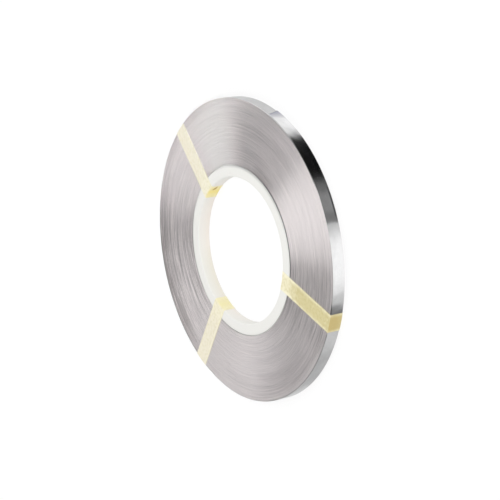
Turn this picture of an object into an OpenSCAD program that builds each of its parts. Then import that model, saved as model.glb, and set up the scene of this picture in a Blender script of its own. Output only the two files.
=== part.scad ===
// A flat coil of nickel-plated strip on a plastic core, held by three bands of paper tape.
// The coil lies on its back end. Its axis is Z, and z = 0 is the level that the tape rests on.

/* [Strip] */
// Width of the strip, which is the coil's height as it lies
strip_width = 7; // [4:0.5:12]
// Thickness of the strip
strip_thickness = 0.2; // [0.1:0.05:0.4]
// Turns of strip on the core
turns = 172; // [60:1:300]
// Direction of the strip's cut outer end, in degrees
strip_end_angle = 60; // [0:1:359]
// Turns from one turn that sits back from the coil's ends to the next
turns_per_lay = 12; // [6:1:40]
// How far such a turn sits back
lay_depth = 0.15; // [0.05:0.05:0.3]

/* [Core] */
// Bore of the core
core_bore = 76; // [50:1:110]
// Wall of the core
core_wall = 6; // [4:0.5:12]
// Rounding of the core's edges
core_edge_r = 0.8; // [0.2:0.1:1.2]
// Slack between the core and the first turn
winding_slack = 0.15; // [0.05:0.05:0.3]

/* [Tape] */
// Width of the tape
tape_width = 9.5; // [6:0.5:20]
// Thickness of the tape
tape_thickness = 0.15; // [0.1:0.05:0.3]
// Length over which a band's end laps its start, on the back
tape_lap = 14; // [6:1:24]
// Direction in which each band crosses the coil's ends, in degrees
band_angles = [-30.3, 120.6, 229.9]; // [-180:0.1:360]
// Sideways shift of each band from the axis
band_shifts = [5.2, 3, -0.3]; // [-10:0.1:10]

/* [Hidden] */
$fn = 96;

// One overrun for every cut
overrun = 1;

// Radii, from the bore outwards
bore_r = core_bore / 2;
core_r = bore_r + core_wall;
coil_bore_r = core_r + winding_slack;
coil_r = coil_bore_r + turns * strip_thickness;

// Heights: two layers of tape lie under the back end where a band laps
back_z = 2 * tape_thickness;
front_z = back_z + strip_width;

// Radii of the turns that sit back, one strip thickness wide each
lay_radii = [for (turn = [turns_per_lay:turns_per_lay:turns - 1]) coil_bore_r + turn * strip_thickness];

// Middle of the wound band between the core and the rim, where the tape laps
lap_mid_r = (core_r + coil_r) / 2;

// Half of the wound outline, a half disc whose straight side lies on X
module half_outline(r, centre_x) {
  intersection() {
    translate([centre_x, 0]) circle(r = r);
    translate([-r - overrun, 0]) square([2 * (r + overrun), r + overrun]);
  }
}

// Outline of the wound strip: a spiral drawn from two half circles whose centres lie half a thickness apart,
// so that each half turn moves out by half a thickness and the cut end is a step of one thickness
module wound_outline() {
  rotate(strip_end_angle) {
    half_outline(coil_r - strip_thickness * 3 / 4, -strip_thickness / 4);
    mirror([0, 1]) half_outline(coil_r - strip_thickness / 4, strip_thickness / 4);
  }
}

// Radius of that outline in a given direction, in degrees
function wound_radius(angle) =
  let (
    from_end = (angle - strip_end_angle) - 360 * floor((angle - strip_end_angle) / 360),
    first_half = from_end < 180,
    centre_x = strip_thickness / 4 * (first_half ? -1 : 1),
    r = coil_r - strip_thickness / 4 * (first_half ? 3 : 1)
  )
  centre_x * cos(from_end) + sqrt(r * r - pow(centre_x * sin(from_end), 2));

// A bar section with rounded corners, from its lower left corner
module rounded_bar(width, height, r) {
  translate([r, 0]) square([width - 2 * r, height]);
  translate([0, r]) square([width, height - 2 * r]);
  for (x = [r, width - r], y = [r, height - r]) translate([x, y]) circle(r = r);
}

// A bar section that is rounded on the left alone, from its lower left corner
module half_rounded_bar(width, height, r) {
  translate([r, 0]) square([width - r, height]);
  translate([0, r]) square([width, height - 2 * r]);
  for (y = [r, height - r]) translate([r, y]) circle(r = r);
}

// Section of the core and the coil together, which the tape is laid on, grown on all sides:
// rounded at the bore with the core, and square at the rim, where the strip's edges are
module taped_section(rim_r, grow) {
  translate([bore_r - grow, back_z - grow])
    half_rounded_bar(rim_r - bore_r + 2 * grow, strip_width + 2 * grow, core_edge_r + grow);
}

// A ring-shaped cut one strip thickness wide
module lay_cut(r) {
  difference() {
    cylinder(r = r + strip_thickness, h = lay_depth + overrun);
    translate([0, 0, -overrun]) cylinder(r = r, h = lay_depth + 3 * overrun);
  }
}

// The strip, wound: a turned solid with its bore, the cut end on its rim and its turns on both ends
module strip_coil() {
  color([0.78, 0.76, 0.75]) difference() {
    translate([0, 0, back_z]) linear_extrude(strip_width) difference() {
      wound_outline();
      circle(r = coil_bore_r);
    }
    for (r = lay_radii) {
      translate([0, 0, front_z - lay_depth]) lay_cut(r);
      translate([0, 0, back_z - overrun]) lay_cut(r);
    }
  }
}

// The plastic ring that the strip is wound on
module core_ring() {
  color([0.94, 0.94, 0.92]) rotate_extrude()
    translate([bore_r, back_z]) rounded_bar(core_wall, strip_width, core_edge_r);
}

// One band of tape: a closed loop round the section of the coil and its core, as wide as the tape,
// with its end lapped over its start on the back
module tape_band(angle, shift) {
  rim_r = wound_radius(angle + asin(shift / coil_r));
  color([0.9, 0.85, 0.66]) {
    intersection() {
      rotate_extrude() difference() {
        taped_section(rim_r, tape_thickness);
        taped_section(rim_r, 0);
      }
      rotate(angle) translate([0, shift - tape_width / 2, 0])
        cube([coil_r + tape_thickness + overrun, tape_width, front_z + tape_thickness + overrun]);
    }
    rotate(angle) translate([lap_mid_r - tape_lap / 2, shift - tape_width / 2, 0])
      cube([tape_lap, tape_width, tape_thickness]);
  }
}

module tape_band_1() { tape_band(band_angles[0], band_shifts[0]); }
module tape_band_2() { tape_band(band_angles[1], band_shifts[1]); }
module tape_band_3() { tape_band(band_angles[2], band_shifts[2]); }

strip_coil();
core_ring();
tape_band_1();
tape_band_2();
tape_band_3();
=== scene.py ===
# %% [markdown]
# # A coil of nickel-plated strip
# The object is a flat coil of thin metal strip. It is wound on a white plastic core, and three
# bands of paper tape keep it from springing open. This lesson dresses its solid model: it measures
# the solids, winds a real strip between them, lays the tape and gives each surface its finish.

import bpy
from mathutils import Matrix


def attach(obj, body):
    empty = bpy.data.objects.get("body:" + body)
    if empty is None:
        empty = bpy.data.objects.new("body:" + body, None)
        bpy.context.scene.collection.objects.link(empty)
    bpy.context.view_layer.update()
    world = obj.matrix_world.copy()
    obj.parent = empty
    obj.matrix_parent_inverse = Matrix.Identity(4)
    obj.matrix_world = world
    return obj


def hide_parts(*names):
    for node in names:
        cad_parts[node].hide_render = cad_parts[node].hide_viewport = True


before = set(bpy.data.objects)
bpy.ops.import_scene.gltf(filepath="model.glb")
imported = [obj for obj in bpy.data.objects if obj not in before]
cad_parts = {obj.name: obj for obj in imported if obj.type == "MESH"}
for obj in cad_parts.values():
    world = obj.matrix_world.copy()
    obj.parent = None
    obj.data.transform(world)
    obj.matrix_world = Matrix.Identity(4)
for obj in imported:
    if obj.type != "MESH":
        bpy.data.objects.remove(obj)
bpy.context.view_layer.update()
print("solids:", sorted(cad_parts))

# %% [markdown]
# ## Sizes
# The dressed model has to fit its solids, so sizes aren't typed in a second time where the solids
# can give them. Each corner point of the coil has a distance from the Z axis. The smallest is the
# radius of the bore, the largest is that of the rim, and the point furthest out is the strip's cut
# end.

# %% Measure the coil and the core
import math

import bpy
import numpy as np
from mathutils import Matrix, Vector, noise

mm = 0.001


def solid_points(node):
    """The corner points of a solid as rows of x, y, z, and each one's distance from the Z axis."""
    points = np.array([vertex.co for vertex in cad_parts[node].data.vertices], float)
    return points, np.hypot(points[:, 0], points[:, 1])


coil_points, coil_reach = solid_points("strip_coil")
coil_radius = float(coil_reach.max())
coil_bore_radius = float(coil_reach.min())
coil_back = float(coil_points[:, 2].min())
coil_front = float(coil_points[:, 2].max())
strip_width = coil_front - coil_back
strip_end_angle = math.atan2(*coil_points[coil_reach.argmax()][1::-1])

_, core_reach = solid_points("core_ring")
core_radius = float(core_reach.max())
core_bore_radius = float(core_reach.min())
print(f"coil: rim {coil_radius / mm:.2f} mm, bore {coil_bore_radius / mm:.2f} mm")
print(f"strip: {strip_width / mm:.2f} mm wide, ends at {math.degrees(strip_end_angle):.1f} degrees")

# %% [markdown]
# ## Camera
# The picture looks at the coil from one side and tips it up, so that the lying coil seems to stand.
# A camera is three directions and a distance. Azimuth and elevation give the way back to the
# camera, and a roll about that line gives which way is up. Measured in coil radii, the distance
# holds for a coil of any size.

# %% Place the camera
view_azimuth = math.radians(95.61)
view_elevation = math.radians(33.2)
view_roll = math.radians(100.13)
view_distance = 9.07 * coil_radius
view_side_step = 0.0732 * coil_radius
view_up_step = 0.0047 * coil_radius
lens_length = 100.25
sensor_size = 36

back = Vector((
    math.sin(view_azimuth) * math.cos(view_elevation),
    -math.cos(view_azimuth) * math.cos(view_elevation),
    math.sin(view_elevation),
))
level_right = Vector((math.cos(view_azimuth), math.sin(view_azimuth), 0))
level_up = back.cross(level_right)
up = level_up * math.cos(view_roll) + level_right * math.sin(view_roll)
right = up.cross(back)

face_centre = Vector((0, 0, coil_front))
camera_place = face_centre + back * view_distance + right * view_side_step + up * view_up_step
camera = bpy.data.objects.new("camera", bpy.data.cameras.new("camera"))
camera.data.lens = lens_length
camera.data.sensor_width = sensor_size
camera.matrix_world = Matrix.Translation(camera_place) @ Matrix((right, up, back)).transposed().to_4x4()
bpy.context.scene.collection.objects.link(camera)
bpy.context.scene.camera = camera
bpy.context.scene.view_settings.view_transform = "Standard"
print("camera at", [round(x, 3) for x in camera_place])

# %% [markdown]
# ## Sums with sockets
# Node trees are clearer as sums than as lists of links. The class below wraps one output of a node.
# Adding or multiplying wrapped outputs adds Math nodes to the tree, and `node` adds any other node:
# its settings come first, because some settings change which sockets it has. The same class serves
# materials, the world and Geometry Nodes.


# %% Wrap an output so that it works like a number
class Wire:
    """One output of a node in a tree. A Wire with no output yet starts a tree."""

    def __init__(self, tree, output=None):
        self.tree = tree
        self.output = output

    def node(self, kind, settings=None, sockets=None, output=0):
        """Adds a node, sets its settings, then fills or links its sockets, and returns an output."""
        made = self.tree.nodes.new(kind)
        for name, value in (settings or {}).items():
            setattr(made, name, value)
        for name, value in (sockets or {}).items():
            if isinstance(value, Wire):
                self.tree.links.new(value.output, made.inputs[name])
            else:
                made.inputs[name].default_value = value
        return Wire(self.tree, made.outputs[output] if made.outputs else None)

    def also(self, name):
        """Another output of the same node."""
        return Wire(self.tree, self.output.node.outputs[name])

    def math(self, operation, *values):
        """A Math node on the values given, in their order."""
        return self.node("ShaderNodeMath", {"operation": operation}, dict(enumerate(values)))

    def clamp(self, low=0.0, high=1.0):
        return self.node("ShaderNodeClamp", {}, {"Value": self, "Min": low, "Max": high})

    def ramp(self, start, end):
        """0 before start and 1 after end, eased between them. End may lie below start."""
        sockets = {"Value": self, "From Min": start, "From Max": end}
        return self.node("ShaderNodeMapRange", {"interpolation_type": "SMOOTHSTEP"}, sockets)

    def mix(self, low, high, blend="MIX"):
        """The colour low where this is 0, and high, or low blended with high, where it is 1."""
        # A Mix node has sockets for every kind of data: 6, 7 and output 2 are those for colours
        settings = {"data_type": "RGBA", "blend_type": blend}
        return self.node("ShaderNodeMix", settings, {0: self, 6: low, 7: high}, output=2)

    def __add__(self, other):
        return self.math("ADD", self, other)

    def __sub__(self, other):
        return self.math("SUBTRACT", self, other)

    def __rsub__(self, other):
        return self.math("SUBTRACT", other, self)

    def __mul__(self, other):
        return self.math("MULTIPLY", self, other)

    def __truediv__(self, other):
        return self.math("DIVIDE", self, other)

    def __abs__(self):
        return self.math("ABSOLUTE", self)

    __radd__ = __add__
    __rmul__ = __mul__


def grey(level):
    """A neutral colour of that brightness."""
    return (level, level, level, 1)


print("sums with sockets are ready")

# %% [markdown]
# ## Floor and soft light
# White things want soft light from all over, and bare metal wants something to mirror. The two
# needs are met apart. A pale sky lights the floor, the plastic and the tape. For mirror rays the
# sky is dim, and below the horizon it holds a ring of bright and dark cards, as a photographer
# stands them round a shiny thing. The floor is left out of mirror rays, so that the rim sees them,
# and it glows, as a light table does, which keeps the shadows thin.

# %% Lay the floor
floor_half = 4.0
floor_tone = 0.2
floor_glow = 0.815
floor_roughness = 0.9
floor_mesh = bpy.data.meshes.new("floor")
floor_corners = [(x * floor_half, y * floor_half, 0) for x, y in ((-1, -1), (1, -1), (1, 1), (-1, 1))]
floor_mesh.from_pydata(floor_corners, [], [(0, 1, 2, 3)])
floor = bpy.data.objects.new("floor", floor_mesh)
floor.visible_glossy = False
bpy.context.scene.collection.objects.link(floor)

floor_finish = bpy.data.materials.new("floor_paper")
floor_finish.use_nodes = True
floor_shader = floor_finish.node_tree.nodes["Principled BSDF"].inputs
floor_shader["Base Color"].default_value = grey(floor_tone)
floor_shader["Emission Color"].default_value = grey(1)
floor_shader["Emission Strength"].default_value = floor_glow
floor_shader["Roughness"].default_value = floor_roughness
floor_shader["Specular IOR Level"].default_value = 0
floor_mesh.materials.append(floor_finish)
print(f"floor: {2 * floor_half:.0f} m square")

# %% Paint the sky and its cards
sky_light = 0.95
sky_camera_light = 0.96
mirror_sky_light = 0.28
mirror_card_base = 0.66
# Depth below the horizon at which the cards are in full, on a ray of length 1
card_fade = 0.12
# Each card: azimuth of its middle, half of its width and the softness of its edges, in degrees,
# then its brightness
mirror_cards = (
    (-16.5, 19.5, 6, 1.06),
    (30.7, 15.3, 3, 0.255),
    (18, 3, 3, 0.175),
    (43, 4, 5, 0.15),
    (68, 21, 5, 0.005),
    (102, 8, 6, 1.02),
    (-175, 12, 8, 1.02),
    (-110, 22, 10, 0.48),
    (-58, 7, 6, 0.17),
)


def toward(east_part, north_part, direction):
    """How much of a level vector, given by its two parts, points in a direction in degrees."""
    angle = math.radians(direction)
    return east_part * math.cos(angle) + north_part * math.sin(angle)


world = bpy.data.worlds.new("studio")
bpy.context.scene.world = world
world.use_nodes = True
world.cycles.sampling_method = "NONE"
world.node_tree.nodes.clear()
sky = Wire(world.node_tree)
east = sky.node("ShaderNodeSeparateXYZ", {}, {0: sky.node("ShaderNodeTexCoord")})
north = east.also("Y")
level_length = sky.math("SQRT", east * east + north * north)

cards = mirror_card_base
for middle, half_width, softness, brightness in mirror_cards:
    outer_edge = math.cos(math.radians(half_width + softness))
    inner_edge = math.cos(math.radians(max(half_width - softness, 0)))
    card = (toward(east, north, middle) / level_length).ramp(outer_edge, inner_edge)
    cards = card * brightness + (1 - card) * cards

below = east.also("Z").ramp(0.0, -card_fade)
mirrored = below * cards + (1 - below) * mirror_sky_light
ray = sky.node("ShaderNodeLightPath")
is_mirror = ray.also("Is Glossy Ray")
is_camera = ray.also("Is Camera Ray")
bounced_light = is_mirror * mirrored + (1 - is_mirror) * sky_light
light = is_camera * sky_camera_light + (1 - is_camera) * bounced_light
glow = sky.node("ShaderNodeBackground", {}, {"Color": grey(1), "Strength": light})
sky.node("ShaderNodeOutputWorld", {}, {"Surface": glow})
print(f"sky: {sky_light} for soft light, {len(mirror_cards)} cards for mirror rays")

# %% [markdown]
# ## Sheen
# The end of the coil is many cut edges lying side by side, all running round the axis. Such a face
# throws each light into a fan, as a record or a pan's base does, and the pattern of fans depends on
# where the lights stand. Six round lamps give the broad and narrow fans of the real coil. They
# shine on mirror rays alone, so they leave no spots on the floor, and they cast no shadows, because
# low lamps would draw a dark line beside each band of tape. A large soft key lights the paper and
# the plastic instead, and mirror rays don't see it.


# %% Hang the sheen lamps
def hang_disc(name, place, radius, brightness):
    """A round lamp that looks at the coil's face. Its place, from there, and radius are in coil radii."""
    disc = bpy.data.lights.new(name, "AREA")
    disc.shape = "DISK"
    disc.size = 2 * radius * coil_radius
    disc.energy = brightness * 4 * math.pi * (radius * coil_radius) ** 2
    lamp = bpy.data.objects.new(name, disc)
    lamp.location = face_centre + Vector(place) * coil_radius
    lamp.rotation_euler = (face_centre - lamp.location).to_track_quat("-Z", "Y").to_euler()
    lamp.visible_camera = False
    bpy.context.scene.collection.objects.link(lamp)
    return lamp


# Each lamp: its place, its radius and how bright its disc is
sheen_lamps = {
    "lamp_left_high": ((-3.43, 1.29, 1.17), 1.24, 1.07),
    "lamp_left_low": ((-2.45, -1.1, 1.0), 0.7, 0.75),
    "lamp_over_right": ((0.47, 0.26, 1.0), 0.57, 1.25),
    "lamp_over_left": ((-0.85, 0.14, 1.52), 0.82, 0.66),
    "lamp_far_right": ((6.07, 7.0, 5.37), 2.53, 0.23),
    "lamp_below": ((-1.09, -3.59, 2.7), 3.2, 0.22),
}
for name, (place, radius, brightness) in sheen_lamps.items():
    lamp = hang_disc(name, place, radius, brightness)
    lamp.visible_diffuse = False
    lamp.data.use_shadow = False
    # Light is drawn from the lamp alone, because rays that look for the lamp would stop at the tape
    lamp.data.cycles.use_multiple_importance_sampling = False
print(f"sheen lamps: {len(sheen_lamps)}")

# %% Hang the soft key
key_place = (7, 3, 7)
key_radius = 4
key_brightness = 1.2
soft_key = hang_disc("soft_key", key_place, key_radius, key_brightness)
soft_key.visible_glossy = False
print("soft key hangs at", [round(x, 2) for x in soft_key.location])

# %% [markdown]
# ## Nickel
# The strip has two finishes: its rolled faces are bright plating, its slit edges are dull from the
# cutter. An edge's scratches run along the strip, so both finishes are anisotropic, with the
# shader's own tangent, which runs round the Z axis. Each turn was cut at another moment, so tone
# and dullness change with the number of the turn, which the winding stores on its points.

# %% Start a finish
noise_roughness = 0.6


def make_finish(name, sockets_of):
    """A material with one Principled shader, whose sockets come from sockets_of(start)."""
    finish = bpy.data.materials.new(name)
    finish.use_nodes = True
    finish.node_tree.nodes.clear()
    start = Wire(finish.node_tree)
    shader = start.node("ShaderNodeBsdfPrincipled", {}, sockets_of(start))
    start.node("ShaderNodeOutputMaterial", {}, {"Surface": shader})
    print(f"finish {name}: {len(finish.node_tree.nodes)} nodes")
    return finish


def noise_of(value, scale, detail=2.0):
    """Smooth noise from 0 to 1 along one number."""
    sockets = {"W": value, "Scale": scale, "Detail": detail, "Roughness": noise_roughness}
    return value.node("ShaderNodeTexNoise", {"noise_dimensions": "1D"}, sockets)


def noise_in(place, scale, detail=2.0):
    """Smooth noise from 0 to 1 in space, or over a map."""
    sockets = {"Vector": place, "Scale": scale, "Detail": detail, "Roughness": noise_roughness}
    return place.node("ShaderNodeTexNoise", {"noise_dimensions": "3D"}, sockets)


def polar(place):
    """A place's distance from the Z axis, and its two level directions from there."""
    x = place.node("ShaderNodeSeparateXYZ", {}, {0: place})
    y = x.also("Y")
    reach = place.math("SQRT", x * x + y * y)
    return reach, x / reach, y / reach


def side_share(east_share, north_share, direction, spread):
    """1 in that direction from the axis, falling to 0 at the spread on both sides of it."""
    return toward(east_share, north_share, direction).ramp(math.cos(math.radians(spread)), 1.0)


print("noise, distance and sides are ready to be mixed")

# %% Rings on the slit edges
turns = 172
# Kinds of rings: a shift in turns, so that no two kinds are alike, how many turns a ring takes up,
# and the length over which it fades along the strip
ring_kinds = {
    "fine": (0, 1.3, 30 * mm),
    "middling": (40, 3.0, 45 * mm),
    "broad": (90, 4.6, 110 * mm),
    "painted_shade_line": (150, 5.0, 90 * mm),
    "painted_highlight_line": (230, 5.0, 90 * mm),
}
# Weight of each kind in the tone: everywhere, and more where turns were knocked out of line
fine_weight = 0.75
middling_weight = (0.45, 1.0)
broad_weight = (0.12, 0.75)
line_weight = (0.18, 0.95)
# A line follows the places where its noise is near 0. Shade lines are painted shade, as in a gap
# between turns, and highlight lines are painted highlights, as on a turn that stands proud
line_width = 0.035
painted_shade_line_tone = -0.6
painted_highlight_line_tone = 0.4
# Where turns were knocked out of line: direction and spread, in degrees, and how far
knocked_sides = ((-170, 34, 1.6), (170, 40, 0.4), (-24, 28, 0.75), (54, 30, 0.15))
# Where turns lie more evenly: direction and spread, in degrees, and by what share
calm_sides = ((108, 16, 0.45), (20, 14, 0.4))


def ring_noise(turn, place, shift, turns_apart, fade_length):
    """Noise from turn to turn, as rings that fade in and out along the strip, centred on 0."""
    x = place.node("ShaderNodeSeparateXYZ", {}, {0: place})
    rows = {
        "X": (turn + shift) / turns_apart,
        "Y": x / fade_length,
        "Z": x.also("Y") / fade_length,
    }
    return noise_in(place.node("ShaderNodeCombineXYZ", {}, rows), 1.0) - 0.5


def ring_tone(rings, side):
    """What the rings add to the tone of the slit edges. Side gives the share of a direction."""
    knocked = sum(side(direction, spread) * strength for direction, spread, strength in knocked_sides)
    evenness = 1 - sum(side(direction, spread) * share for direction, spread, share in calm_sides)

    def weight(everywhere, where_knocked):
        return everywhere + where_knocked * knocked

    plain = rings["fine"] * fine_weight
    plain = plain + rings["middling"] * weight(*middling_weight) + rings["broad"] * weight(*broad_weight)
    # Dark lines of painted shade and light lines of painted highlight
    painted_shade_lines = abs(rings["painted_shade_line"]).ramp(line_width, 0.0)
    painted_highlight_line = abs(rings["painted_highlight_line"]).ramp(line_width, 0.0)
    lines = (painted_highlight_line * painted_highlight_line_tone + painted_shade_lines * painted_shade_line_tone) * weight(*line_weight)
    return (plain + lines) * evenness


print(f"rings on {turns} turns: {', '.join(ring_kinds)}")

# %% Tones of the slit edges
nickel_dark = (0.5, 0.462, 0.46, 1)
nickel_light = (1.0, 0.945, 0.942, 1)
nickel_neutral = (0.965, 0.95, 0.935, 1)
nickel_painted_glint = (0.95, 0.95, 0.95, 1)
# A near-black painted shade, for the shadow beside the core and the dark edges of the last turns
painted_dark_shade = (0.04, 0.04, 0.04, 1)
middle_tone = 0.59
# Sides of the coil, each a direction and a spread in degrees, with the turns over which the change
# fades in: where the first turns carry a painted shadow of the gap beside the core, where the last
# turn's edge carries a painted glint, where the edges of the last turns are painted dark, as a painted
# reflection of the rim's dark part and, beside the right band, a painted shadow of a gap under the last
# turn, and where the sheen has no warmth
core_gap_shadow_side = (14, 62)
core_gap_shadow_turns = (4.0, 2.4)
painted_glint_side = (57, 36)
painted_glint_turns = (turns - 3.1, turns - 2.6)
painted_dark_edge_sides = ((34, 14), (-24, 6))
painted_dark_edge_turns = (turns - 4, turns - 3)
neutral_side = (99, 18)
# Patches of turns whose tone is lower or higher than the rest, partly their own tone and partly painted
# shade and light that even out the sheen: the darker outer turns on the left and first turns beside the
# core are painted shade, the patch on turns 166.6 to 168.6 is a painted shadow line under the painted
# glint, and the last three dim the sheen over whole sectors. Each patch: direction and spread, in
# degrees, first and last turn, how many turns it fades over, and the change of tone
tone_and_shade_patches = (
    (-166, 44, 138, 190, 14, -0.52),
    (178, 44, -10, 18, 6, -0.38),
    (133, 50, 150, 190, 10, -0.18),
    (-66, 24, 100, 160, 12, -0.2),
    (-58, 28, 4, 50, 6, 0.14),
    (-24, 44, 156, 190, 6, 0.18),
    (57, 30, 130, 190, 24, 0.26),
    (50, 14, -10, 28, 8, -0.35),
    (55, 16, 166.6, 168.6, 0.4, -0.7),
    (62, 14, 60, 130, 10, 0.14),
    (-158, 18, 95, 190, 14, -0.25),
    (14, 26, -10, 190, 4, -0.06),
    (104, 28, -10, 190, 4, -0.06),
    (116, 11, -10, 190, 4, -0.06),
)
print(f"slit edges: {len(tone_and_shade_patches)} patches of another shine")

# %% Nickel, on the slit edges
# Share of the metal's look that the painted glint takes away
painted_glint_metal_loss = 0.9
slit_roughness = 0.38
slit_roughness_range = (0.3, 0.46)
middling_roughness = 0.14
broad_roughness = 0.1
slit_anisotropy = 0.97
# A quarter turn of the shader's tangent, which sets the scratches along the strip
along_the_strip = 0.25


def slit_edges(start):
    turn = start.node("ShaderNodeAttribute", {"attribute_name": "turn"}, output="Fac")
    place = start.node("ShaderNodeTexCoord", output="Object")
    _, east_share, north_share = polar(place)

    def side(direction, spread):
        return side_share(east_share, north_share, direction, spread)

    rings = {kind: ring_noise(turn, place, *sizes) for kind, sizes in ring_kinds.items()}
    tone = middle_tone + ring_tone(rings, side)
    # Patches of own tone, of painted shade and of painted light on the slit edges
    for direction, spread, first, last, fade, change in tone_and_shade_patches:
        among_turns = turn.ramp(first - fade, first + fade) * turn.ramp(last + fade, last - fade)
        tone = tone + change * side(direction, spread) * among_turns
    light = side(*neutral_side).mix(nickel_light, nickel_neutral)
    # Painted shadow on the first turns, as in the gap beside the core
    painted_core_gap_shadow = turn.ramp(*core_gap_shadow_turns) * side(*core_gap_shadow_side)
    shaded = painted_core_gap_shadow.mix(tone.clamp().mix(nickel_dark, light), painted_dark_shade)
    # A painted glint: the last turns' edge is made white and less metallic, so the soft light makes it
    # bright
    painted_glint = turn.ramp(*painted_glint_turns) * side(*painted_glint_side)
    # Painted dark edges of the last turns: a painted reflection of the rim's dark part, and by the right
    # band a painted shadow of a gap under the last turn
    painted_dark_edge = turn.ramp(*painted_dark_edge_turns) * sum(side(*painted_dark_edge_side) for painted_dark_edge_side in painted_dark_edge_sides)
    roughness = slit_roughness + middling_roughness * rings["middling"] + broad_roughness * rings["broad"]
    return {
        "Base Color": painted_dark_edge.mix(painted_glint.mix(shaded, nickel_painted_glint), painted_dark_shade),
        "Metallic": 1.0 - painted_glint_metal_loss * painted_glint,
        "Roughness": roughness.clamp(*slit_roughness_range),
        "Anisotropic": slit_anisotropy,
        "Anisotropic Rotation": along_the_strip,
    }


slit_finish = make_finish("nickel_slit_edge", slit_edges)

# %% Nickel, on the rolled faces
nickel_plating = (0.9, 0.9, 0.905, 1)
nickel_plating_dull = (0.8, 0.8, 0.8, 1)
# Painted shade near the strip's cut end, and a painted shadow line at the cut
painted_cut_shade = (0.6, 0.6, 0.68, 1)
painted_cut_shadow = (0.3, 0.3, 0.36, 1)
# Painted shade for the rim's back edge
painted_back_edge_shade = (0.2, 0.2, 0.21, 1)
# Distances from the cut end, in turns, over which its painted bluish shade and its painted shadow line
# fade in
painted_cut_shade_turns = (0.016, 0.002)
painted_cut_shadow_turns = (0.0024, 0.0006)
# Side on which the back edge of the rim is darkened with painted shade, and how far in from that edge it
# reaches
painted_back_edge_side = (16.5, 7)
painted_back_edge_reach = 1.5 * mm
# Streaks along the strip, dull blots and shallow dents: how many to a metre, and their strength
streak_count = 2600
streak_share = 0.4
streak_roughness = 0.08
blot_count = 160
blot_range = (0.3, 0.7)
dent_count = 130
dent_depth = 0.12 * mm
rolled_roughness = 0.12
rolled_anisotropy = 0.6


def rolled_faces(start):
    place = start.node("ShaderNodeTexCoord", output="Object")
    across = start.node("ShaderNodeSeparateXYZ", {}, {0: place}, output="Z")
    turn = start.node("ShaderNodeAttribute", {"attribute_name": "turn"}, output="Fac")
    _, east_share, north_share = polar(place)
    streak = noise_of(across, streak_count)
    blot = noise_in(place, blot_count, detail=3.0).ramp(*blot_range)
    plating = (streak * streak_share + blot * (1 - streak_share)).mix(nickel_plating_dull, nickel_plating)
    # Painted shade along the rim's back edge on one side
    at_back_edge = across.ramp(coil_back + painted_back_edge_reach, coil_back + painted_back_edge_reach / 3)
    painted_back_edge = at_back_edge * side_share(east_share, north_share, *painted_back_edge_side)
    # Painted shade and a painted shadow line at the cut end
    to_cut = turns - 1 - turn
    shaded = to_cut.ramp(*painted_cut_shade_turns).mix(painted_back_edge.mix(plating, painted_back_edge_shade), painted_cut_shade)
    dents = noise_in(place, dent_count, detail=1.0)
    return {
        "Base Color": to_cut.ramp(*painted_cut_shadow_turns).mix(shaded, painted_cut_shadow),
        "Metallic": 1.0,
        "Roughness": rolled_roughness + streak_roughness * streak,
        "Normal": start.node("ShaderNodeBump", {}, {"Distance": dent_depth, "Height": dents}),
        "Anisotropic": rolled_anisotropy,
        "Anisotropic Rotation": along_the_strip,
    }


rolled_finish = make_finish("nickel_rolled_face", rolled_faces)

# %% [markdown]
# ## Plastic
# The core is satin white plastic. One even colour would make it look like plaster: plastic in use
# has faint rings from the tool and small scuffs. Two masks add painted shade: a grey outer edge,
# stronger on one side, and a wall that is warmer on one side than on the other, more so toward the
# back. Each of these is a mask from 0 to 1 that mixes one more colour in, so each can be changed by
# itself.

# %% White plastic, for the core
plastic_white = (0.8, 0.796, 0.762, 1)
plastic_shade = (0.742, 0.733, 0.693, 1)
plastic_painted_warm_shade = (0.82, 0.765, 0.7, 1)
plastic_painted_yellow_shade = (0.775, 0.745, 0.655, 1)
plastic_painted_edge_shade = (0.52, 0.515, 0.5, 1)
# Side on which the core's outer edge is darkened grey with painted shade, as a direction and a spread
# in degrees, the share of that painted shade all round, and how far in from the edge it begins and is full
painted_edge_shade_side = (54, 46)
painted_edge_shade_all_round = 0.15
painted_edge_shade_begins = 1.6 * mm
painted_edge_shade_full = 0.3 * mm
# The bore's wall carries painted shade, warm and fuller toward the back: how deep it goes in, the share
# of it at the top, how far east it begins and is full, as a share of the radius, and the side on which
# that painted shade is yellower
wall_depth = 0.4 * mm
wall_top_share = 0.3
painted_wall_shade_begins = 0.1
painted_wall_shade_full = -0.75
painted_yellow_shade_side = (203, 30)
# Rings from the tool and scuffs: how many to a metre, and their strength
tool_ring_count = 5200
tool_ring_depth = 0.02 * mm
tool_ring_bump = 0.25
tool_ring_share = 0.15
scuff_count = 320
scuff_range = (0.55, 0.75)
scuff_share = 0.35
plastic_roughness = 0.42
tool_ring_roughness = 0.15


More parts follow.
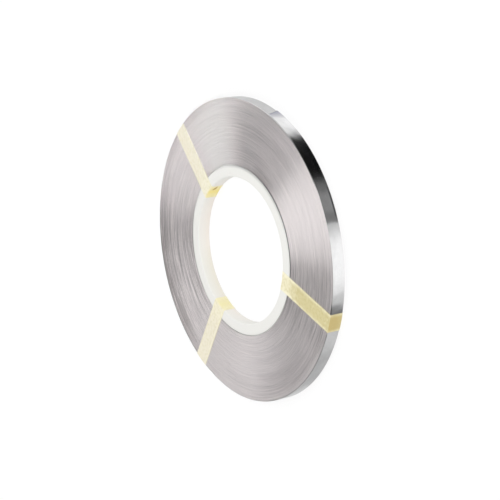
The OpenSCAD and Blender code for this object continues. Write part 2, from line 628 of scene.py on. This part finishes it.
def core_plastic(start):
    place = start.node("ShaderNodeTexCoord", output="Object")
    level = start.node("ShaderNodeSeparateXYZ", {}, {0: place}, output="Z")
    reach, east_share, north_share = polar(place)
    # Painted shade: the core's outer edge turns grey
    painted_edge_shade_share = painted_edge_shade_all_round + (1 - painted_edge_shade_all_round) * side_share(east_share, north_share, *painted_edge_shade_side)
    painted_edge_shade = reach.ramp(core_radius - painted_edge_shade_begins, core_radius - painted_edge_shade_full) * painted_edge_shade_share
    # Painted shade on the bore's wall: warmer and fuller toward the back, on one side
    down_the_wall = wall_top_share + (1 - wall_top_share) * level.ramp(coil_front, coil_back)
    on_wall = reach.ramp(core_bore_radius + wall_depth, core_bore_radius)
    painted_wall_shade = on_wall * down_the_wall * east_share.ramp(painted_wall_shade_begins, painted_wall_shade_full)
    painted_wall_shade_tone = side_share(east_share, north_share, *painted_yellow_shade_side).mix(plastic_painted_warm_shade, plastic_painted_yellow_shade)
    tool_rings = noise_of(reach, tool_ring_count)
    scuffs = noise_in(place, scuff_count, detail=4.0).ramp(*scuff_range)
    clean = (scuffs * scuff_share + tool_rings * tool_ring_share).mix(plastic_white, plastic_shade)
    bump = {"Strength": tool_ring_bump, "Distance": tool_ring_depth, "Height": tool_rings}
    return {
        "Base Color": painted_edge_shade.mix(painted_wall_shade.mix(clean, painted_wall_shade_tone), plastic_painted_edge_shade),
        "Roughness": plastic_roughness + tool_ring_roughness * tool_rings,
        "Normal": start.node("ShaderNodeBump", {}, bump),
    }


core_finish = make_finish("core_plastic", core_plastic)

# %% [markdown]
# ## Paper
# Masking tape is thin creped paper, so what lies under it shows through: it is darker over metal
# than over the white core, and near the core it pales, partly from that white and partly as painted
# light. Where it is folded, down the rim or into the bore, its colour is painted stronger and darker,
# as shade, and the three bands are lit and shaded copies of one tape. A picture of real tape could be
# laid on it, but noise over a map that runs along the tape gives crepe of the right size on a band of
# any length.

# %% Tones and waves of the paper
# Tones of each band: on the face over the metal, there over the white core, and in the bore, where its
# stronger colour is painted shade. Over the metal, band 1 is painted darker and stronger, as tape in less
# light, and bands 2 and 3 paler, as tape in more light
tape_tones = {
    "tape_band_1": ((0.65, 0.575, 0.292, 1), (0.9, 0.85, 0.625, 1), (0.86, 0.74, 0.3, 1)),
    "tape_band_2": ((0.83, 0.78, 0.635, 1), (0.87, 0.83, 0.645, 1), (0.88, 0.74, 0.24, 1)),
    "tape_band_3": ((0.835, 0.78, 0.625, 1), (0.875, 0.826, 0.625, 1), (0.83, 0.76, 0.42, 1)),
}
rim_paper_painted_shade = (0.55, 0.435, 0.175, 1)
crease_shade = (0.4, 0.24, 0.05, 1)
fleck_tint = (0.78, 0.76, 0.56, 1)
fleck_strength = 0.5
fleck_range = (0.4, 0.75)
fleck_layer = 5.0
# Waves of crepe, blotches and flecks: how many to a metre of tape, and to half of its width
crepe_waves = (1900, 3)
blotch_waves = (420, 2.2)
fleck_waves = (620, 3)


def paper_noise(along, across, waves, layer=0.0, detail=2.0):
    """Noise over the map of the tape. Noise on another layer has another pattern."""
    rows = {"X": along * waves[0], "Y": across * waves[1], "Z": layer}
    return noise_in(along.node("ShaderNodeCombineXYZ", {}, rows), 1.0, detail)


print(f"paper: tones for {len(tape_tones)} bands")

# %% Creped paper, for the tape
# Where the tape's edges begin and are full, as shares of half of its width, and how far from the
# core's outer edge the paper begins to pale and is pale in full: over the core the white below shows
# through, and out over the metal the paling is painted light
edge_range = (0.55, 0.95)
white_begins = 11 * mm
white_full = -3.5 * mm
# What makes flat paper pale, and the sum at which it begins to be
pale_edge = 0.5
pale_white = 0.8
pale_blotch = 1.2
pale_crepe = 0.9
pale_begins = 1.1
# Share of the rim's tone, a stronger colour painted as shade on the tape down the rim, and what adds
# to it or takes from it; it fades from this far down the rim
rim_share_base = 0.65
rim_blotch = 0.7
rim_edge = -0.55
rim_back = -0.4
rim_fade = 3 * mm
# Share of the bore's tone, also painted shade, in the same way
bore_share_base = 1.1
bore_edge = -0.5
bore_blotch = -0.3
crepe_bump = 0.5
crepe_depth = 0.03 * mm
paper_roughness = 0.4
crepe_roughness = 0.2


def creped_paper(start, over_metal, over_white, painted_bore_shade):
    map_place = start.node("ShaderNodeUVMap", {"uv_map": "tape_map"})
    along = start.node("ShaderNodeSeparateXYZ", {}, {0: map_place})
    across = along.also("Y")
    place = start.node("ShaderNodeTexCoord", output="Object")
    level = start.node("ShaderNodeSeparateXYZ", {}, {0: place}, output="Z")
    reach, _, _ = polar(place)
    bent = start.node("ShaderNodeAttribute", {"attribute_name": "bent"}, output="Fac")
    crease_shadow = start.node("ShaderNodeAttribute", {"attribute_name": "crease_shadow"}, output="Fac")

    crepe = paper_noise(along, across, crepe_waves, detail=3.0)
    blotch = paper_noise(along, across, blotch_waves)
    flecks = paper_noise(along, across, fleck_waves, fleck_layer).ramp(*fleck_range)
    edge = abs(across).ramp(*edge_range)
    # The paper pales near the core: the white below, and painted light out over the metal
    white_below_and_painted_light = reach.ramp(core_radius + white_begins, core_radius + white_full)
    pale = edge * pale_edge + white_below_and_painted_light * pale_white + blotch * pale_blotch + crepe * pale_crepe
    smooth_paper = (pale - pale_begins).clamp().mix(over_metal, over_white)
    flat_paper = (flecks * fleck_strength).mix(smooth_paper, fleck_tint, "MULTIPLY")

    # Painted shade: a stronger, darker colour down the rim and in the bore
    toward_back = level.ramp(coil_front - rim_fade, coil_back)
    rim_share = rim_share_base + rim_blotch * blotch + rim_edge * edge + rim_back * toward_back
    on_rim = (bent.clamp() * rim_share).clamp()
    bore_share = bore_share_base + bore_edge * abs(across) + bore_blotch * blotch
    on_wall = ((bent * -1.0).clamp() * bore_share).clamp()
    paper_with_painted_shade = on_wall.mix(on_rim.mix(flat_paper, rim_paper_painted_shade), painted_bore_shade)
    bump = {"Strength": crepe_bump, "Distance": crepe_depth, "Height": crepe}
    return {
        # Painted shadow along the crease of the pleat
        "Base Color": crease_shadow.mix(paper_with_painted_shade, crease_shade),
        "Roughness": paper_roughness + crepe_roughness * crepe,
        "Normal": start.node("ShaderNodeBump", {}, bump),
    }


tape_finishes = {
    node: make_finish(f"creped_paper_{node[-1]}", lambda start, tones=tones: creped_paper(start, *tones))
    for node, tones in tape_tones.items()
}

# %% [markdown]
# ## The wound strip
# The coil is one long strip, so it is made as one: a flat spiral that a small oblong section is
# swept along. A turned solid with rings drawn on it would be lighter, but its rim would have no
# loose end, and its face no edges that lie a hair higher or lower than their neighbours. Geometry
# Nodes suit a shape that follows such a rule, because the tree's inputs are the winding's sizes.

# %% Describe the winding
points_per_turn = 140
pitch = (coil_radius - coil_bore_radius) / turns
# The middle line starts in the first turn and ends in the last, so it goes round once less
winding = {
    "Turns": float(turns - 1),
    "Points per turn": points_per_turn,
    "First radius": coil_bore_radius + pitch / 2,
    "Last radius": coil_radius - pitch / 2,
    "End angle": strip_end_angle,
    "Strip thickness": 0.95 * pitch,
    "Strip width": strip_width,
    "Middle height": (coil_front + coil_back) / 2,
    "Wander": 0.09 * mm,
    "Slant of the cut": 2.6 * mm,
    "Slack under the last turn": 0.3 * mm,
    "Slack angle": math.radians(-53),
    "Slack angle at the cut": math.radians(56),
    "Seed": 7.0,
    "Slit edge": slit_finish,
    "Rolled face": rolled_finish,
}
print(f"winding: {turns} turns, {pitch / mm:.3f} mm apart")

# %% Lay the strip's path
wander_rate = 1.4
# The last turn's slack, as shares of the input: all round, then for each side the input that gives
# its direction, its spread in degrees and its share
slack_all_round = 0.15
slack_sides = (("Slack angle", 38, 0.85), ("Slack angle at the cut", 18, 0.7))
# Distance from the strip's end, in turns, over which the turns below the last one begin
inner_turns = (0.8, 1.0)


def wound_path(start, size):
    """The strip's middle line: a spiral whose points know their turn, wander and give slack."""
    spiral = start.node("GeometryNodeCurveSpiral", {}, {
        "Resolution": size("Points per turn"),
        "Rotations": size("Turns"),
        "Start Radius": size("First radius"),
        "End Radius": size("Last radius"),
        "Height": 0.0,
        "Reverse": True,
    })
    turn = start.node("GeometryNodeInputIndex") / size("Points per turn")
    numbered = start.node("GeometryNodeStoreNamedAttribute", {"data_type": "FLOAT", "domain": "POINT"}, {
        "Geometry": spiral,
        "Name": "turn",
        "Value": turn,
    })

    # A spiral of whole turns starts and ends on +X, so the end angle is all that it has to be turned by
    spin = start.node("ShaderNodeCombineXYZ", {}, {"Z": size("End angle")})
    turned = start.node("GeometryNodeTransform", {}, {"Geometry": numbered, "Rotation": spin})

    # The turns under the last one are drawn in a little, which leaves the last one standing clear
    place = start.node("GeometryNodeInputPosition")
    outward = start.node("ShaderNodeVectorMath", {"operation": "NORMALIZE"}, {0: place})
    bulge = slack_all_round
    for angle, spread, share in slack_sides:
        way = {"X": start.math("COSINE", size(angle)), "Y": start.math("SINE", size(angle))}
        ways = {0: outward, 1: start.node("ShaderNodeCombineXYZ", {}, way)}
        facing = start.node("ShaderNodeVectorMath", {"operation": "DOT_PRODUCT"}, ways, output="Value")
        begins = math.cos(math.radians(spread))
        full = math.cos(math.radians(spread / 5))
        bulge = bulge + share * facing.ramp(begins, full)
    inner = (size("Turns") - turn).ramp(*inner_turns)
    draw_in = size("Slack under the last turn") * bulge * inner * turn / size("Turns")
    inward = {0: outward, "Scale": draw_in * -1.0}
    inward_step = start.node("ShaderNodeVectorMath", {"operation": "SCALE"}, inward)

    lift = (noise_of(turn + size("Seed"), wander_rate, detail=3.0) * 2.0 - 1.0) * size("Wander")
    rise = start.node("ShaderNodeCombineXYZ", {}, {"Z": size("Middle height") + lift})
    step = start.node("ShaderNodeVectorMath", {"operation": "ADD"}, {0: inward_step, 1: rise})
    return start.node("GeometryNodeSetPosition", {}, {"Geometry": turned, "Offset": step})


print(f"the last turn has slack on {len(slack_sides)} sides")

# %% Sweep the strip and cut its end
# Points within this distance of the strip's end, in turns, are those of its cut
cut_length = 0.001


def swept_strip(start, size, path):
    """A closed mesh: a small oblong, swept along the path, whose end is cut askew."""
    upright = start.node("GeometryNodeSetCurveNormal", {"mode": "Z_UP"}, {"Curve": path})
    section = start.node("GeometryNodeCurvePrimitiveQuadrilateral", {}, {
        "Width": size("Strip thickness"),
        "Height": size("Strip width") - 2.0 * size("Wander"),
    })
    swept = start.node("GeometryNodeCurveToMesh", {}, {
        "Curve": upright,
        "Profile Curve": section,
        "Fill Caps": True,
    })

    # The shears met the strip askew: the front corner of its end lies further back than the other
    turn = start.node("GeometryNodeInputNamedAttribute", {"data_type": "FLOAT"}, {"Name": "turn"})
    at_cut = start.node("FunctionNodeCompare", {"operation": "GREATER_THAN"}, {
        0: turn,
        1: size("Turns") - cut_length,
    })
    place = start.node("GeometryNodeInputPosition")
    level = start.node("ShaderNodeSeparateXYZ", {}, {0: place}, output="Z")
    toward_front = (level - size("Middle height")) / size("Strip width") + 0.5
    cut_back = size("Slant of the cut") * toward_front
    askew = start.node("ShaderNodeCombineXYZ", {}, {
        "X": start.math("SINE", size("End angle")) * cut_back,
        "Y": start.math("COSINE", size("End angle")) * cut_back * -1.0,
    })
    return start.node("GeometryNodeSetPosition", {}, {
        "Geometry": swept,
        "Selection": at_cut,
        "Offset": askew,
    })


print(f"the end's front corner is cut back by {winding['Slant of the cut'] / mm:.1f} mm")

# %% Join the winding's tree
socket_kinds = {float: "NodeSocketFloat", int: "NodeSocketInt", bpy.types.Material: "NodeSocketMaterial"}
# Faces whose normal has a larger upright part than this are slit edges
edge_slope = 0.5


def two_finishes(start, size, strip_mesh):
    """The strip in plain geometry, with plating on its rolled faces and dull metal on its slit edges."""
    realized = start.node("GeometryNodeRealizeInstances", {}, {"Geometry": strip_mesh})
    plated = start.node("GeometryNodeSetMaterial", {}, {
        "Geometry": realized,
        "Material": size("Rolled face"),
    })
    normal = start.node("GeometryNodeInputNormal")
    slope = abs(start.node("ShaderNodeSeparateXYZ", {}, {0: normal}, output="Z"))
    on_edge = {0: slope, 1: edge_slope}
    return start.node("GeometryNodeSetMaterial", {}, {
        "Geometry": plated,
        "Selection": start.node("FunctionNodeCompare", {"operation": "GREATER_THAN"}, on_edge),
        "Material": size("Slit edge"),
    })


def wound_strip_tree(inputs):
    """A Geometry Nodes tree with those inputs, and the identifier of each input's socket."""
    tree = bpy.data.node_groups.new("wound_strip", "GeometryNodeTree")
    tree.interface.new_socket("Geometry", in_out="OUTPUT", socket_type="NodeSocketGeometry")
    identifiers = {}
    for name, value in inputs.items():
        kind = socket_kinds[type(value)]
        identifiers[name] = tree.interface.new_socket(name, in_out="INPUT", socket_type=kind).identifier
    start = Wire(tree)
    size = start.node("NodeGroupInput").also
    strip_mesh = swept_strip(start, size, wound_path(start, size))
    start.node("NodeGroupOutput", {}, {"Geometry": two_finishes(start, size, strip_mesh)})
    return tree, identifiers


strip_tree, strip_sockets = wound_strip_tree(winding)
print(f"winding's tree: {len(strip_tree.nodes)} nodes, {len(strip_sockets)} inputs")


# %% Wind the strip
def make_plain(piece):
    """Turns what a piece's modifiers show into a plain mesh, and takes the modifiers off."""
    depsgraph = bpy.context.evaluated_depsgraph_get()
    shown = piece.evaluated_get(depsgraph)
    mesh = bpy.data.meshes.new_from_object(shown, preserve_all_data_layers=True, depsgraph=depsgraph)
    piece.modifiers.clear()
    piece.data = mesh


def smooth_but_corners(mesh, corner=40):
    """Smooth shading that keeps edges which turn more sharply than that many degrees."""
    mesh.shade_smooth()
    mesh.set_sharp_from_angle(angle=math.radians(corner))


strip = bpy.data.objects.new("wound_strip", bpy.data.meshes.new("wound_strip"))
bpy.context.scene.collection.objects.link(strip)
strip_winding = strip.modifiers.new("winding", "NODES")
strip_winding.node_group = strip_tree
for name, value in winding.items():
    strip_winding[strip_sockets[name]] = value
make_plain(strip)
smooth_but_corners(strip.data)
print(f"wound strip: {len(strip.data.polygons)} faces, materials {[m.name for m in strip.data.materials]}")

# %% [markdown]
# ## The core
# The core is a plain ring. Its edges are well rounded at the bore, where a spindle goes in, and
# nearly sharp beside the strip. A cylinder with a hole cut through it would do, but a ring is a
# section that is turned about the axis, so the mesh is made from the section's points: four quarter
# rounds, joined by straight runs, copied round the axis and bridged.

# %% Turn the core
core_bore_rounding = 0.8 * mm
core_outer_rounding = 0.2 * mm
core_sides = 192
round_steps = 7
core_section = []
for quarter, (middle_radius, middle_height, rounding) in enumerate((
    (core_radius - core_outer_rounding, coil_front - core_outer_rounding, core_outer_rounding),
    (core_bore_radius + core_bore_rounding, coil_front - core_bore_rounding, core_bore_rounding),
    (core_bore_radius + core_bore_rounding, coil_back + core_bore_rounding, core_bore_rounding),
    (core_radius - core_outer_rounding, coil_back + core_outer_rounding, core_outer_rounding),
)):
    for step in range(round_steps):
        angle = math.pi / 2 * (quarter + step / (round_steps - 1))
        core_section.append((
            middle_radius + rounding * math.cos(angle),
            middle_height + rounding * math.sin(angle),
        ))

section_size = len(core_section)
core_corners = []
core_faces = []
for side in range(core_sides):
    around = 2 * math.pi * side / core_sides
    core_corners += [(r * math.cos(around), r * math.sin(around), z) for r, z in core_section]
    here = side * section_size
    there = (side + 1) % core_sides * section_size
    for point in range(section_size):
        after = (point + 1) % section_size
        core_faces.append((here + point, there + point, there + after, here + after))
core_mesh = bpy.data.meshes.new("core_tube")
core_mesh.from_pydata(core_corners, [], core_faces)
core_mesh.materials.append(core_finish)
smooth_but_corners(core_mesh)
core = bpy.data.objects.new("core_tube", core_mesh)
bpy.context.scene.collection.objects.link(core)
print(f"core: {len(core_faces)} faces")

# %% [markdown]
# ## The tape
# Each band is one length of creped paper tape. It starts on the back of the coil, goes through the
# bore, over the face, down the rim, and ends on top of its own start. The tape is flat in one
# direction and bent in the other, so a mesh grid fits it: one direction runs along the band, the
# other across it. The path along the band is made of straight runs and round corners, and it
# shifts a little from edge to edge of the tape, because the rim and the bore are round.

# %% Read where a band lies
# The lap is the lowest part of a band, and its lower corners are below this level
lap_level = 0.01 * mm


def band_place(node):
    """A band's directions along and across the coil's face, and its sizes, from its solid."""
    points, reach = solid_points(node)
    thickness = points[:, 2].max() - coil_front
    lap = np.unique(points[points[:, 2] < lap_level].round(6), axis=0)[:, :2]
    lap = lap[np.hypot(lap[:, 0], lap[:, 1]).argsort()]
    inner_end = lap[:2].mean(0)
    outer_end = lap[2:].mean(0)
    along = (outer_end - inner_end) / np.linalg.norm(outer_end - inner_end)
    across = np.array((-along[1], along[0]))
    return {
        "along": along,
        "across": across,
        "shift": float(inner_end @ across),
        "width": float(np.linalg.norm(lap[1] - lap[0])),
        "lap_start": float(outer_end @ along),
        "lap_end": float(inner_end @ along),
        "thickness": thickness,
        "rim": reach.max() - thickness,
        "bore": reach.min() + thickness,
    }


bands = {node: band_place(node) for node in sorted(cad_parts) if node.startswith("tape_band")}
for node, band in bands.items():
    angle = math.degrees(math.atan2(band["along"][1], band["along"][0]))
    width = band["width"] / mm
    print(f"{node}: at {angle:.1f} degrees, {width:.1f} mm wide, rim {band['rim'] / mm:.2f} mm")

# %% Draw the path of the tape
path_step = 0.25 * mm
corner_steps = 6
rim_bend = 0.1 * mm
lap_slope = 0.6 * mm


def straight(start, end):
    """Points from start up to end, which is left out, each with the direction to its left."""
    start = np.array(start)
    run = np.array(end) - start
    count = max(round(np.linalg.norm(run) / path_step), 1)
    left = np.array((-run[1], run[0])) / np.linalg.norm(run)
    return [(start + run * i / count, left) for i in range(count)]


def quarter_turn(middle, radius, start_angle):
    """Points round a quarter turn to the right, each with the direction away from the middle."""
    angles = np.radians(start_angle - 90 * np.arange(corner_steps) / corner_steps)
    away = np.stack((np.cos(angles), np.sin(angles)), axis=1)
    return [(np.array(middle) + radius * direction, direction) for direction in away]


def band_path(band, bore_x, rim_x):
    """The sticky side of a band from its start to its end: points (x, z) and the directions outward."""
    soft = core_bore_rounding
    over_start = coil_back - band["thickness"]
    points = [
        *straight((band["lap_start"], coil_back), (bore_x + soft, coil_back)),
        *quarter_turn((bore_x + soft, coil_back + soft), soft, 270),
        *straight((bore_x, coil_back + soft), (bore_x, coil_front - soft)),
        *quarter_turn((bore_x + soft, coil_front - soft), soft, 180),
        *straight((bore_x + soft, coil_front), (rim_x - rim_bend, coil_front)),
        *quarter_turn((rim_x - rim_bend, coil_front - rim_bend), rim_bend, 90),
        *straight((rim_x, coil_front - rim_bend), (rim_x, coil_back + rim_bend)),
        *quarter_turn((rim_x - rim_bend, coil_back + rim_bend), rim_bend, 0),
        *straight((rim_x - rim_bend, coil_back), (band["lap_start"] + lap_slope, coil_back)),
        *straight((band["lap_start"] + lap_slope, coil_back), (band["lap_start"], over_start)),
        *straight((band["lap_start"], over_start), (band["lap_end"], over_start)),
    ]
    points.append((np.array((band["lap_end"], over_start)), points[-1][1]))
    return np.array([point for point, _ in points]), np.array([outward for _, outward in points])


print(f"paths have a point every {path_step / mm:.2f} mm")

# %% Pleat a band
# A pleat where a band was pushed into the bore: its middle down from the face and across the band,
# its direction, length, width and height
pleats = {"tape_band_2": ((2.9 * mm, -2.8 * mm), (0.56, -0.83), 3.4 * mm, 0.9 * mm, 0.5 * mm)}
# The painted shadow of the crease beside a pleat: its place in widths of the pleat, and how narrow it is
crease_place = 0.45
crease_narrowness = 3


def pleat_over(node, depths, side):
    """How far a pleat lifts the tape at those depths below the face, and how dark the painted shadow of
    its crease is.
    """
    if node not in pleats:
        return 0 * depths, 0 * depths
    (middle_depth, middle_side), (down, over), length, width, height = pleats[node]
    lengthwise = (depths - middle_depth) * down + (side - middle_side) * over
    crosswise = (depths - middle_depth) * over - (side - middle_side) * down
    end_fade = np.exp(-(2 * lengthwise / length) ** 4)
    rise = height * np.exp(-(2 * crosswise / width) ** 2) * end_fade
    shade = np.exp(-(crease_narrowness * (crosswise / width - crease_place)) ** 2) * end_fade
    return rise, shade


print(f"pleats: {len(pleats)}")

# %% Shape a band
tape_columns = 40
crepe_length = 0.7 * mm
crepe_width = 4 * mm
# The tape lies on the bore's wall where its outward direction points this far toward the axis
wall_facing = 0.9


def shape_band(node, band, seed):
    """Grids of points for both sides of a band, the painted shadow of its crease, and its length, bends
    and width.
    """
    middle = band["shift"]
    bore_x = math.sqrt(band["bore"] ** 2 - middle ** 2)
    rim_x = math.sqrt(band["rim"] ** 2 - middle ** 2)
    path, outward = band_path(band, bore_x, rim_x)
    run = np.concatenate(([0], np.linalg.norm(np.diff(path, axis=0), axis=1).cumsum()))
    sideways = middle + band["width"] * (np.arange(tape_columns + 1) / tape_columns - 0.5)

    # The rim and the bore curve away under the tape, while the lap on the back stays straight
    stations = (bore_x, band["lap_end"], band["lap_start"], rim_x)
    crease_shadow_grid = np.zeros((len(path), len(sideways)))
    sticky = np.zeros((*crease_shadow_grid.shape, 3))
    outer = np.zeros((*crease_shadow_grid.shape, 3))
    on_wall = outward[:, 0] < -wall_facing
    for column, side in enumerate(sideways):
        bore_shift = math.sqrt(band["bore"] ** 2 - side ** 2) - bore_x
        rim_shift = math.sqrt(band["rim"] ** 2 - side ** 2) - rim_x
        x = path[:, 0] + np.interp(path[:, 0], stations, (bore_shift, 0, 0, rim_shift))
        crepe = [noise.noise((s / crepe_length, side / crepe_width, seed)) for s in run]
        rise, shade = pleat_over(node, coil_front - path[:, 1], side - middle)
        lift = rise * on_wall
        crease_shadow_grid[:, column] = shade * on_wall
        top = lift + band["thickness"] - crepe_depth * (0.5 + 0.5 * np.array(crepe))
        for grid, height in ((sticky, lift), (outer, top)):
            along = x + outward[:, 0] * height
            grid[:, column, :2] = along[:, None] * band["along"] + side * band["across"]
            grid[:, column, 2] = path[:, 1] + outward[:, 1] * height
    return sticky, outer, crease_shadow_grid, run, outward[:, 0], 2 * (sideways - middle) / band["width"]


print(f"bands have {tape_columns + 1} points from edge to edge")

# %% Lay the bands
tape_corner = 60


def band_faces(rows, columns):
    """Faces that close a band: its outer side, its sticky side, its two edges and its two ends."""
    below = np.arange(rows * columns).reshape(rows, columns)
    above = below + rows * columns
    sheets = (
        (above[:-1, :-1], above[1:, :-1], above[1:, 1:], above[:-1, 1:]),
        (below[:-1, :-1], below[:-1, 1:], below[1:, 1:], below[1:, :-1]),
        (below[:-1, 0], below[1:, 0], above[1:, 0], above[:-1, 0]),
        (below[:-1, -1], above[:-1, -1], above[1:, -1], below[1:, -1]),
        (below[0, :-1], above[0, :-1], above[0, 1:], below[0, 1:]),
        (below[-1, :-1], below[-1, 1:], above[-1, 1:], above[-1, :-1]),
    )
    return np.concatenate([np.stack([corner.ravel() for corner in sheet], axis=1) for sheet in sheets])


def lay_band(node, band, seed):
    """A closed mesh of one band of tape, with its map, its marks for the finish, and the finish."""
    name = node.replace("tape_band", "paper_tape")
    sticky, outer, crease_shadow_grid, run, bent, width_share = shape_band(node, band, seed)
    faces = band_faces(*crease_shadow_grid.shape)
    mesh = bpy.data.meshes.new(name)
    mesh.from_pydata(np.concatenate((sticky.reshape(-1, 3), outer.reshape(-1, 3))), [], faces.tolist())

    # The map runs along the tape in metres, and across it from -1 to 1
    spots = np.stack(np.broadcast_arrays(run[:, None], width_share[None, :]), axis=2).reshape(-1, 2)
    corner_points = np.zeros(len(mesh.loops), int)
    mesh.loops.foreach_get("vertex_index", corner_points)
    tape_map = mesh.uv_layers.new(name="tape_map")
    tape_map.uv.foreach_set("vector", np.tile(spots, (2, 1))[corner_points].astype(np.float32).ravel())
    for mark, values in (("bent", np.repeat(bent, len(width_share))), ("crease_shadow", crease_shadow_grid.ravel())):
        stored = mesh.attributes.new(mark, "FLOAT", "POINT")
        stored.data.foreach_set("value", np.tile(values, 2).astype(np.float32))

    mesh.materials.append(tape_finishes[node])
    smooth_but_corners(mesh, tape_corner)
    piece = bpy.data.objects.new(name, mesh)
    bpy.context.scene.collection.objects.link(piece)
    print(f"{name}: {run[-1] / mm:.0f} mm of tape, {len(faces)} faces")
    return piece


tapes = {
    node: lay_band(node, band, seed)
    for seed, (node, band) in enumerate(bands.items())
}

# %% [markdown]
# ## Hand over
# Every piece rides on the object's one body and stands for the solid that it covers.

# %% Set the pieces on the body
stands_for = {"strip_coil": (strip, "nickel_strip"), "core_ring": (core, "core_plastic")}
stands_for.update({node: (tape, "masking_tape") for node, tape in tapes.items()})
for node, (piece, slot) in stands_for.items():
    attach(piece, "root")
    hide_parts(node)
